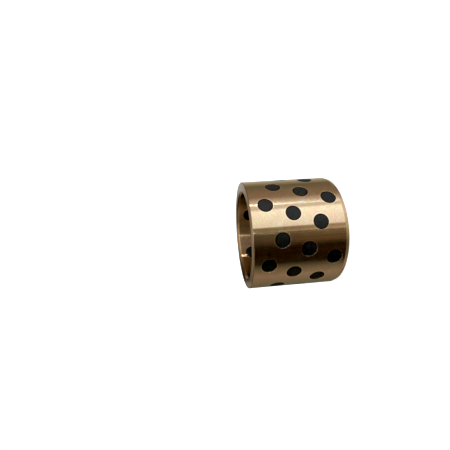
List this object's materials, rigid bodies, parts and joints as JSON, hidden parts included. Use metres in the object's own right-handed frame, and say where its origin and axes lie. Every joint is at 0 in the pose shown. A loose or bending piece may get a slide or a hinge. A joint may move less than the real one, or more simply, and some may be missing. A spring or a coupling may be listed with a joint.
{
  "type": "graphite plugged bushing",
  "caption": "Straight bronze sleeve bushing with flush graphite plugs in a staggered helical pattern, a dry-running plain bearing for a shaft.",
  "frame": {"origin": "centre of the bottom end face, on which the bushing stands", "axes": "+Z along the bore, from the bottom end face to the top one; +X through the middle of a plug of the lowest ring"},
  "size_m": [0.05, 0.05, 0.04],
  "materials": {
    "bronze": "satin",
    "graphite": "matte"
  },
  "bodies": {
    "root": {"sleeve": "bronze", "graphite_plug_01": "graphite", "graphite_plug_02": "graphite", "graphite_plug_03": "graphite", "graphite_plug_04": "graphite", "graphite_plug_05": "graphite", "graphite_plug_06": "graphite", "graphite_plug_07": "graphite", "graphite_plug_08": "graphite", "graphite_plug_09": "graphite", "graphite_plug_10": "graphite", "graphite_plug_11": "graphite", "graphite_plug_12": "graphite", "graphite_plug_13": "graphite", "graphite_plug_14": "graphite", "graphite_plug_15": "graphite", "graphite_plug_16": "graphite", "graphite_plug_17": "graphite", "graphite_plug_18": "graphite", "graphite_plug_19": "graphite", "graphite_plug_20": "graphite", "graphite_plug_21": "graphite", "graphite_plug_22": "graphite", "graphite_plug_23": "graphite", "graphite_plug_24": "graphite", "graphite_plug_25": "graphite", "graphite_plug_26": "graphite", "graphite_plug_27": "graphite", "graphite_plug_28": "graphite", "graphite_plug_29": "graphite", "graphite_plug_30": "graphite", "graphite_plug_31": "graphite", "graphite_plug_32": "graphite", "graphite_plug_33": "graphite", "graphite_plug_34": "graphite", "graphite_plug_35": "graphite", "graphite_plug_36": "graphite"}
  },
  "joints": []
}
